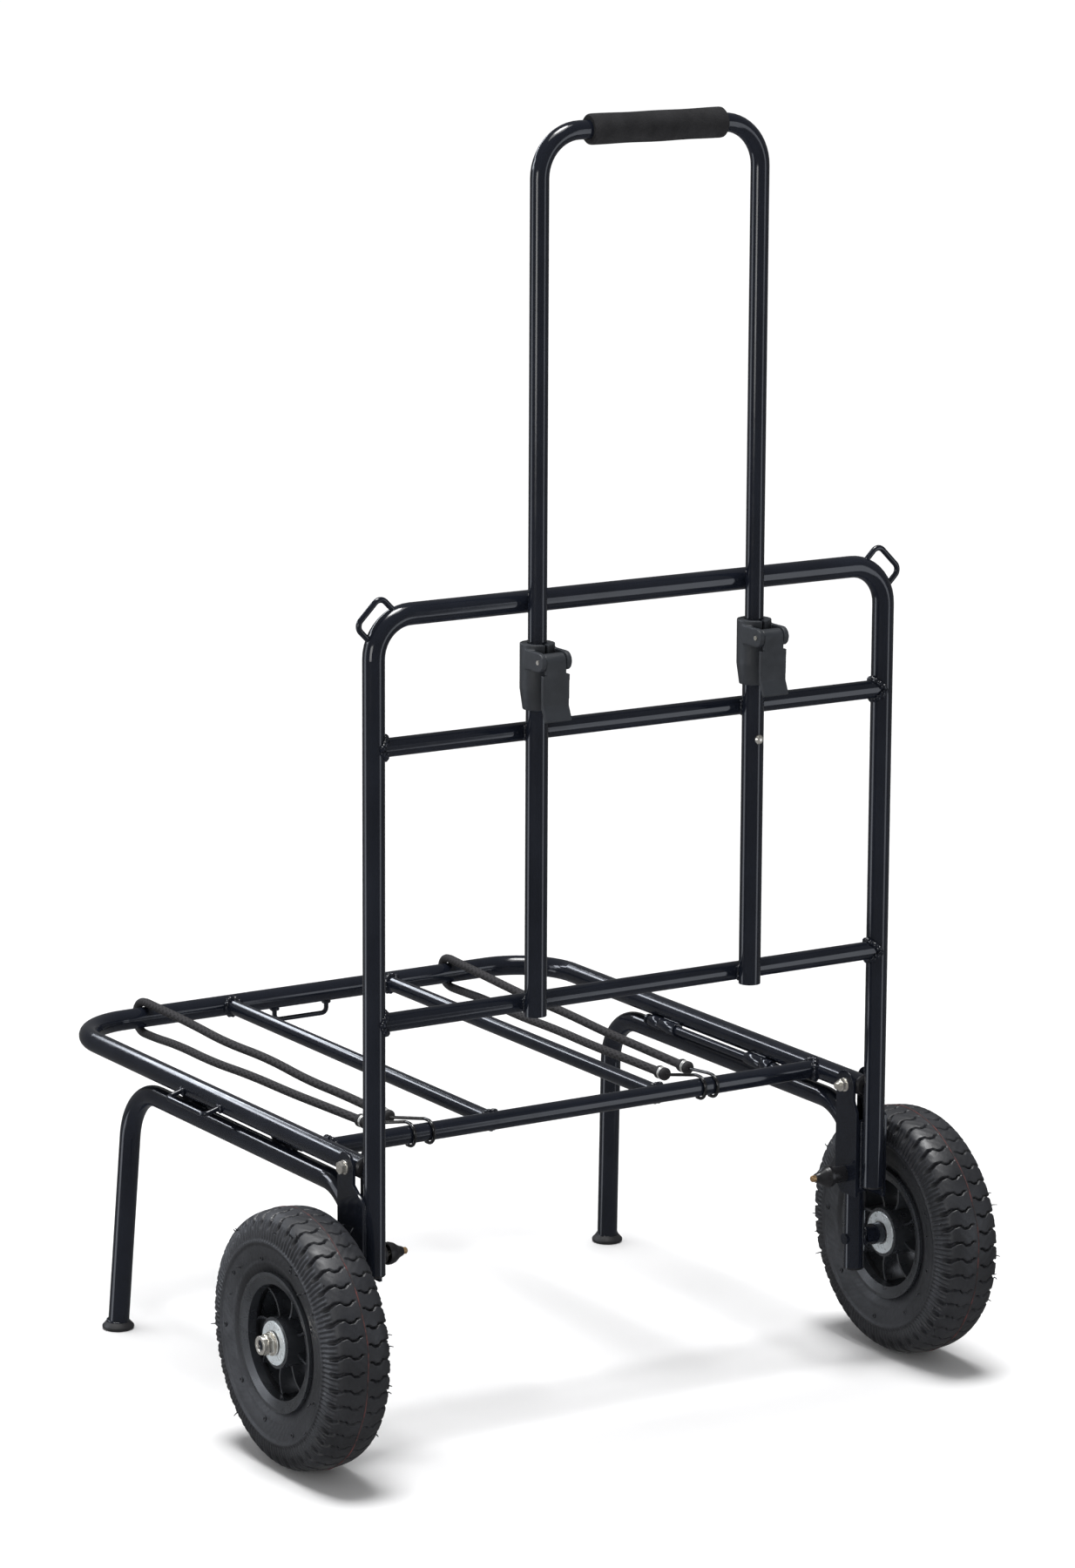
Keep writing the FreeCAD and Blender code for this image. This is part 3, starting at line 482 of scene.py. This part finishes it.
def platform_beads(k):
    """One side's rails, slat, axle, hinges, tie loop and foot, and on the right the front tie loop too."""
    side_rail = ((k * HALF_WIDTH, 0, PLATFORM_Z), Y_WAY, FRAME_R)
    front = ((0, PLATFORM_FRONT, PLATFORM_Z), X_WAY, FRAME_R)
    rear = ((0, REAR_RAIL_Y, PLATFORM_Z), X_WAY, RAIL_R)
    post = ((k * HALF_WIDTH, PIVOT_Y, 0), Z_WAY, FRAME_R)
    slat_at = (k * SLAT_X, SLAT_POINT_Y, PLATFORM_Z)
    beads = [ring_bead(((k * RAIL_POINT_X, REAR_RAIL_Y, PLATFORM_Z), (k, 0, 0), RAIL_R), side_rail, 2.9),
             ring_bead((slat_at, Y_WAY, SLAT_R), front, 2.7),
             ring_bead((slat_at, (0, -1, 0), SLAT_R), rear, 2.6),
             ring_bead(((k * AXLE_POINT_X, PIVOT_Y, WHEEL_R), (-k, 0, 0), AXLE_NECK_R), post, 1.5)]
    for y0, y1, z, lift in KNUCKLE_WELDS:
        for off in (-1.9, 1.9):
            x, edge_z = k * (KNUCKLE_WELD_X + off), z + off * lift * 0.8
            beads.append(bead([(x, y0 + 1, edge_z), (x, y1 - 1, edge_z)], 1.1))
    for y in SIDE_LOOP_Y:
        wire = ((k * SIDE_LOOP_POINT_X, y, PLATFORM_Z - 4.6), (-k, 0, 0.27), LOOP_BEAD_R)
        beads.append(ring_bead(wire, side_rail, 1.9, count=16))
    if k > 0:
        for x in FRONT_LOOP_X:
            wire = ((x, PLATFORM_FRONT, FRONT_LOOP_POINT_Z), Z_WAY, LOOP_BEAD_R)
            beads.append(ring_bead(wire, front, 1.9, count=16))
    beads.append(foot_bead(k))
    return beads


def foot_bead(k):
    slope = Vector((FOOT_X - HALF_WIDTH, FOOT_Y - LEG_FRONT_Y, -LEG_Z)).normalized()
    ankle = Vector((FOOT_X, FOOT_Y, FOOT_H + 0.4))
    e1 = slope.orthogonal().normalized()
    e2 = slope.cross(e1)
    path = []
    for turn in np.linspace(0, 2 * math.pi, 24)[:-1]:
        p = ankle + (e1 * math.cos(turn) + e2 * math.sin(turn)) * (FRAME_R + 0.1)
        path.append((k * p.x, p.y, p.z))
    return bead(path, 1.1, closed=True)


def make_welds():
    backrest, platform = [], []
    for _, k in SIDES:
        backrest += backrest_beads(k)
        platform += platform_beads(k)
    add_mesh("backrest_welds", *joined(backrest), "backrest", "frame_paint")
    add_mesh("platform_welds", *joined(platform), "platform", "frame_paint")


# ---- tyres --------------------------------------------------------------------------------------
LUGS = 46
LUG_STEPS = 22             # faces round the tyre for each lug
CROWN = 111.9
# Half of the section from the crown to the bead, as (distance from the middle plane, radius).
SECTION = ((0, CROWN), (6, 111.7), (12, 111.1), (18, 109.8), (23, 107.2), (26.2, 103.6), (28.4, 98.6),
           (29.6, 92.6), (29.9, 86.5), (29.5, 80), (28.4, 73.6), (26.8, 68.2), (24.9, 64.2), (23.2, 61.6),
           (22.3, 58.0))
# Left half of the skin inside, from its bead to the crown.
INSIDE = ((-21.7, 51.8), (-12.7, 47.8), (-17.5, 62), (-24.5, 82), (-18, 100.5), (0, 104.4))


def tyre_profile():
    """Half of the section, smoothed and closely spaced, and its arc length from the crown line."""
    tight = []
    for p, q in zip(SECTION, SECTION[1:]):
        steps = max(1, round(math.dist(p, q) / 1.05))
        for i in range(steps):
            tight.append((p[0] + (q[0] - p[0]) * i / steps, p[1] + (q[1] - p[1]) * i / steps))
    tight.append(SECTION[-1])
    line = np.array(tight)
    for _ in range(6):
        line[1:-1] = 0.25 * line[:-2] + 0.5 * line[1:-1] + 0.25 * line[2:]
    arc = np.concatenate([[0], np.cumsum(np.hypot(*np.diff(line, axis=0).T))])
    return line, arc


def smooth_step(a, b, v):
    t = np.clip((v - a) / (b - a), 0, 1)
    return t * t * (3 - 2 * t)


def zigzag(u):
    """Sideways wander of a groove, in fractions of a lug, at distance u from the crown line."""
    return 0.14 * np.interp(u, [0, 5, 8, 12.5, 15.5, 21, 27], [0.4, 0.4, -0.7, -0.7, 0.8, 0.8, -0.3])


def tread_height(u, turn, side):
    """Height of the rubber over the carcass in millimetres, where turn counts lugs round the tyre."""
    cell = (turn + zigzag(u) + (0.5 if side > 0 else 0.0)) % 1.0
    off = np.minimum(cell, 1 - cell) * 2 * math.pi * CROWN / LUGS
    half = np.interp(u, [0, 3, 18, 24, 29, 33], [0.5, 0.8, 0.95, 1.6, 2.4, 2.7])
    depth = np.interp(u, [0, 2, 4, 20, 26, 30, 36], [0, 0, 3.6, 4.0, 4.6, 3.2, 0])
    groove = -depth * (1 - smooth_step(half * 0.7, half * 1.1, off))
    ribbed = smooth_step(25, 30, u) * (1 - smooth_step(43, 46, u))
    ribs = 0.62 * (np.cos(2 * math.pi * (turn * 3 + 0.2)) - 1) * ribbed
    edge = 0.75 * np.exp(-(u - 46.5) ** 2)
    panel = -0.5 * smooth_step(48, 50, u) * (1 - smooth_step(62, 65, u))
    wear = 0.10 * np.sin(turn * 7.3 + u * 1.7) * np.sin(turn * 3.1 - u * 0.9)
    return groove + ribs + edge + panel + wear - 0.1


def make_tyre(name, k):
    """Carcass with its tread, closed round the inside from bead to bead."""
    line, arc = tyre_profile()
    count = LUGS * LUG_STEPS
    turns = np.arange(count) / LUG_STEPS
    angle = turns * 2 * math.pi / LUGS
    tangent = np.gradient(line, axis=0)
    tangent /= np.linalg.norm(tangent, axis=1)[:, None]
    normal = np.stack([-tangent[:, 1], tangent[:, 0]], axis=1)
    left = [(-1, j) for j in range(len(line) - 1, -1, -1)]
    right = [(1, j) for j in range(1, len(line))]
    columns = []
    for side, j in left + right:
        h = tread_height(arc[j], turns, side)
        columns.append((side * (line[j, 0] + normal[j, 0] * h), line[j, 1] + normal[j, 1] * h))
    around = list(INSIDE) + [(-x, r) for x, r in reversed(INSIDE[:-1])]
    columns += reversed(around)
    grid = np.zeros((count, len(columns), 3))
    for j, (x, r) in enumerate(columns):
        grid[:, j, 0] = k * WHEEL_X + x
        grid[:, j, 1] = PIVOT_Y + r * np.cos(angle) - MIDDLE_Y
        grid[:, j, 2] = WHEEL_R + r * np.sin(angle)
    verts = (grid.reshape(-1, 3) / 1000).tolist()
    faces = grid_faces(count, len(columns), close_rows=True, close_columns=True)
    tyre = add_mesh("tyre_tread_" + name, verts, faces, "wheel_" + name, "tyre_rubber")
    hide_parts("tyre_" + name)
    make_mould_marks(name, k, line, arc)


def on_wheel(k, x, r, turn):
    return at(k * WHEEL_X + x, PIVOT_Y + r * math.cos(turn), WHEEL_R + r * math.sin(turn))


def flash_line(k):
    """Thin uneven line that the mould leaves round the crown."""
    points, radii = [], []
    for i in range(360):
        turn = 2 * math.pi * i / 360
        wander = 0.5 * math.sin(5 * turn) + 0.3 * math.sin(13 * turn + 1)
        points.append(on_wheel(k, wander, CROWN - 0.1, turn))
        radii.append(0.00055 * (1 + 0.25 * math.sin(29 * turn) * math.sin(7 * turn)))
    return tube_along(points, radii, sides=6, closed=True)


def vent_hairs(k, line, arc):
    """Short rubber hairs on the shoulders and sidewalls, with none near the floor."""
    hairs = []
    for i in range(56):
        side = 1 if i % 2 else -1
        u = rng.choice((24.0, 27.5, 33.0, 46.5, 58.0))
        turn = rng.uniform(0, 2 * math.pi)
        if math.sin(turn) < -0.82:
            continue
        x, r = line[int(np.searchsorted(arc, u))]
        outward, upward = (0.8, 0.5) if u > 30 else (0.45, 0.9)
        way = Vector((side * outward, 0, 0)) + Vector((0, math.cos(turn), math.sin(turn))) * upward
        way.normalize()
        length = rng.uniform(1.6, 4.6) + 0.8
        start = on_wheel(k, side * x, r - 0.6, turn)
        bend = Vector([rng.uniform(-0.4, 0.4) for _ in range(3)])
        path = [start, start + way * length * 0.0005, start + (way + bend * 0.5) * length * 0.001]
        hairs.append(tube_along(path, [0.0006, 0.0005, 0.00035], sides=6))
    return hairs


def sidewall_nubs(k, line):
    """Small round marks in a loose ring on both sidewalls."""
    nubs = []
    for side in (1, -1):
        for i in range(9):
            turn = 2 * math.pi * (i + rng.uniform(-0.2, 0.2)) / 9
            r = rng.choice((72.0, 76.0, 79.0))
            x = float(np.interp(-r, -line[:, 1], line[:, 0]))
            middle = on_wheel(k, side * (x - 0.35), r, turn)
            ring = []
            for a in range(14):
                s = 2 * math.pi * a / 14
                ring.append(middle + Vector((0, math.cos(s), math.sin(s))) * 0.0017)
            nubs.append(tube_along(ring, [0.00055] * 14, sides=6, closed=True))
    return nubs


def make_mould_marks(name, k, line, arc):
    body = "wheel_" + name
    add_mesh("flash_line_" + name, *flash_line(k), body, "tyre_rubber", "mould_flash")
    marks = vent_hairs(k, line, arc) + sidewall_nubs(k, line)
    add_mesh("mould_marks_" + name, *joined(marks), body, "tyre_rubber")


# ---- cords --------------------------------------------------------------------------------------
CORDS = {
    "left": [(-173.0, 129, 264.6), (-172.2, 188, 265.4), (-174.0, 255, 264.7), (-172.2, 330, 267.5),
             (-174.2, 405, 265.6), (-172.8, 470, 267.9), (-174.0, 533, 269.4), (-175.0, 572.3, 270.2),
             (-176.5, 572.3, 240.8), (-178.0, 534, 241.6), (-180.2, 482, 246.0), (-184.2, 410, 247.2),
             (-187.8, 335, 253.0), (-191.0, 255, 255.4), (-193.6, 188, 259.0), (-195.5, 129, 261.8)],
    "right": [(137.5, 131, 264.6), (138.2, 190, 265.4), (141.9, 260, 264.7), (143.6, 335, 267.4),
              (148.2, 405, 265.6), (149.8, 470, 267.9), (153.0, 533, 269.4), (155.0, 572.3, 270.2),
              (157.0, 572.3, 240.8), (155.6, 534, 241.8), (150.4, 482, 245.8), (141.2, 410, 247.4),
              (133.0, 335, 252.8), (125.4, 260, 255.2), (118.4, 190, 259.2), (113.8, 131, 261.6)],
}
# The wrapped end of a cord, as (distance past the cord's end, radius).
CRIMP_PROFILE = ((-1.2, 4.1), (0.4, 5.3), (2.6, 5.95), (5.0, 5.7), (6.6, 4.8), (8.6, 4.75), (10.2, 5.6),
                 (12.4, 5.95), (14.2, 5.0), (15.0, 2.6))
STAPLES_AT, STAPLE_R, STAPLE_WIRE_R = (6.4, 8.9), 5.1, 0.75


def make_cords():
    ends = make_crimps()
    for name, route in CORDS.items():
        curve = bpy.data.curves.new("cord_" + name, "CURVE")
        curve.dimensions = "3D"
        spline = curve.splines.new("NURBS")
        spline.points.add(len(route) - 1)
        for point, place in zip(spline.points, route):
            point.co = (*at(*place), 1)
        spline.order_u = 3
        spline.use_endpoint_u = True
        spline.resolution_u = 12
        curve.bevel_depth = CORD_R / 1000
        curve.bevel_resolution = 4
        curve.use_fill_caps = True
        curve.materials.append(materials["cord_braid"])
        cord = bpy.data.objects.new("cord_" + name, curve)
        bpy.context.scene.collection.objects.link(cord)
        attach(cord, "platform")
        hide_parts("bungee_cord_" + name)


def crimp_wrap(start, way):
    points, radii = [], []
    for s in np.linspace(CRIMP_PROFILE[0][0], CRIMP_PROFILE[-1][0], 44):
        r = float(np.interp(s, *zip(*CRIMP_PROFILE))) + 0.18 * math.sin(s * 6.5)
        points.append(at(*(start + way * s)))
        radii.append(min(r, CRIMP_R) / 1000)
    return tube_along(points, radii, sides=22)


def staple_ring(start, way, along):
    """Steel wire wound once round a crimp, a little askew."""
    side = way.orthogonal().normalized()
    up = way.cross(side)
    ring = []
    for a in range(28):
        turn = 2 * math.pi * a / 28
        slant = 1.3 * math.cos(turn + 0.8)
        round_it = (side * math.cos(turn) + up * math.sin(turn)) * STAPLE_R
        ring.append(at(*(start + way * (along + slant) + round_it)))
    return tube_along(ring, [STAPLE_WIRE_R / 1000] * 28, sides=8, closed=True)


def make_crimps():
    """The folded ends of the cords, wrapped tight and held by a pair of steel staples."""
    made = {}
    for name, route in CORDS.items():
        wraps, staples = [], []
        for end, inner in ((route[0], route[1]), (route[-1], route[-2])):
            start, way = Vector(end), (Vector(end) - Vector(inner)).normalized()
            wraps.append(crimp_wrap(start, way))
            staples += [staple_ring(start, way, along) for along in STAPLES_AT]
        wrap = add_mesh("cord_ends_" + name, *joined(wraps), "platform", "cord_crimps", "cord_wrap")
        staple = add_mesh("staples_" + name, *joined(staples), "platform", "cord_crimps", "staple_steel")
        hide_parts("bungee_crimps")
        made[name] = [wrap, staple]
    return made


# ---- valves -------------------------------------------------------------------------------------
VALVE_TURN = math.radians(217)               # between two spokes
# Threaded stem and cap, from the rim toward the axle, as (distance from the axle, radius).
VALVE_THREAD = [(46.0 - i * 0.3, 3.62 if i % 2 else 3.3) for i in range(23)]
VALVE_CAP = [(40.2, 3.4), (40.0, 4.1), (38.5, 4.3), (29.5, 4.1), (27.6, 3.8), (26.9, 3.0), (26.8, 0.4)]


def make_valves():
    for name, k in SIDES:
        for piece, rows, slot in (("valve_thread_", VALVE_THREAD, "plunger_brass"),
                                  ("valve_cap_", VALVE_CAP, "plug_plastic")):
            points = [on_wheel(k, 0, r, VALVE_TURN) for r, _ in rows]
            mesh = tube_along(points, [thick / 1000 for _, thick in rows], sides=20)
            add_mesh(piece + name, *mesh, "wheel_" + name, slot)


# ---- edges of the CAD parts ---------------------------------------------------------------------
MOULDED = ("clamp_collars", "clamp_lever_left", "clamp_lever_right")
PRESSED = ("pivot_bolts", "pivot_nuts", "axle_nuts", "axle_washers", "pivot_washers", "hub_shields_left",
           "hub_shields_right", "pivot_brackets", "foot_pads", "upright_end_plugs", "leg_knuckles",
           "rail_knuckles")
SHARP = math.radians(38)                     # an edge that turns by more than this is broken


def soften(node, voxel, rounds):
    """Rounded edges and blended corners of a moulded part."""
    obj = nodes[node]
    blend = obj.modifiers.new("blend", "REMESH")
    blend.mode = "VOXEL"
    blend.voxel_size = voxel / 1000
    blend.use_smooth_shade = True
    relax = obj.modifiers.new("relax", "SMOOTH")
    relax.factor = 0.5
    relax.iterations = rounds


def ease(node, width):
    """Broken edges of a pressed or machined part."""
    obj = nodes[node]
    weld = obj.modifiers.new("weld", "WELD")
    weld.merge_threshold = 0.00001
    edge = obj.modifiers.new("ease", "BEVEL")
    edge.width = width / 1000
    edge.segments = 2
    edge.limit_method = "ANGLE"
    edge.angle_limit = SHARP
    edge.harden_normals = True


# ---- grip ---------------------------------------------------------------------------------------
GRIP_SKIN_R = 12.8                           # middle of the skin's waves
GRIP_EDGE = 1.5                              # how far its rounded ends draw in
GRIP_EDGE_LENGTH = 3.0


def make_grip():
    """Foam sleeve with a slightly uneven skin, rounded ends and a face at each end."""
    def around(x, r, turn):
        return at(x, HANDLE_Y + r * math.cos(turn), HANDLE_TOP + r * math.sin(turn))

    count, sides = 90, 48
    turns = [2 * math.pi * j / sides for j in range(sides)]
    verts = []
    for i in range(count + 1):
        x = GRIP_FROM + (GRIP_TO - GRIP_FROM) * i / count
        inset = min(x - GRIP_FROM, GRIP_TO - x, GRIP_EDGE_LENGTH) / GRIP_EDGE_LENGTH
        round_off = GRIP_EDGE * (1 - math.sqrt(max(0.0, 1 - (1 - inset) ** 2)))
        for turn in turns:
            wave = 0.16 * math.sin(x * 0.11 + 1.0) + 0.10 * math.sin(3 * turn + x * 0.05)
            verts.append(around(x, GRIP_SKIN_R - round_off + wave, turn))
    faces = grid_faces(count + 1, sides, close_columns=True)
    for x, inward in ((GRIP_FROM, 1), (GRIP_TO, -1)):
        base = len(verts)
        for r, dish in ((GRIP_SKIN_R - GRIP_EDGE, 0.0), (RAIL_R + 0.05, 0.25)):
            verts += [around(x + inward * dish, r, turn) for turn in turns]
        faces += [tuple(base + n for n in face) for face in grid_faces(2, sides, close_columns=True)]
    grip = add_mesh("soft_grip", verts, faces, "handle", "grip_foam")
    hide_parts("foam_grip")


# ---- the whole ----------------------------------------------------------------------------------
def dress_cad():
    slots = {part["node"]: part["material_slot"] for part in frame["record"]["subparts"]}
    for name, obj in nodes.items():
        for holder in obj.material_slots:
            holder.material = materials[slots[name]]


make_camera()
make_studio()
make_paint_and_metals()
make_plastics()
make_rubbers()
make_cord_looks()
dress_cad()
make_cords()
make_welds()
make_valves()
for part in MOULDED:
    soften(part, voxel=0.6, rounds=5)
for part in PRESSED:
    ease(part, width=0.35)
for side_name, side_sign in SIDES:
    make_tyre(side_name, side_sign)
make_grip()

bpy.context.view_layer.update()
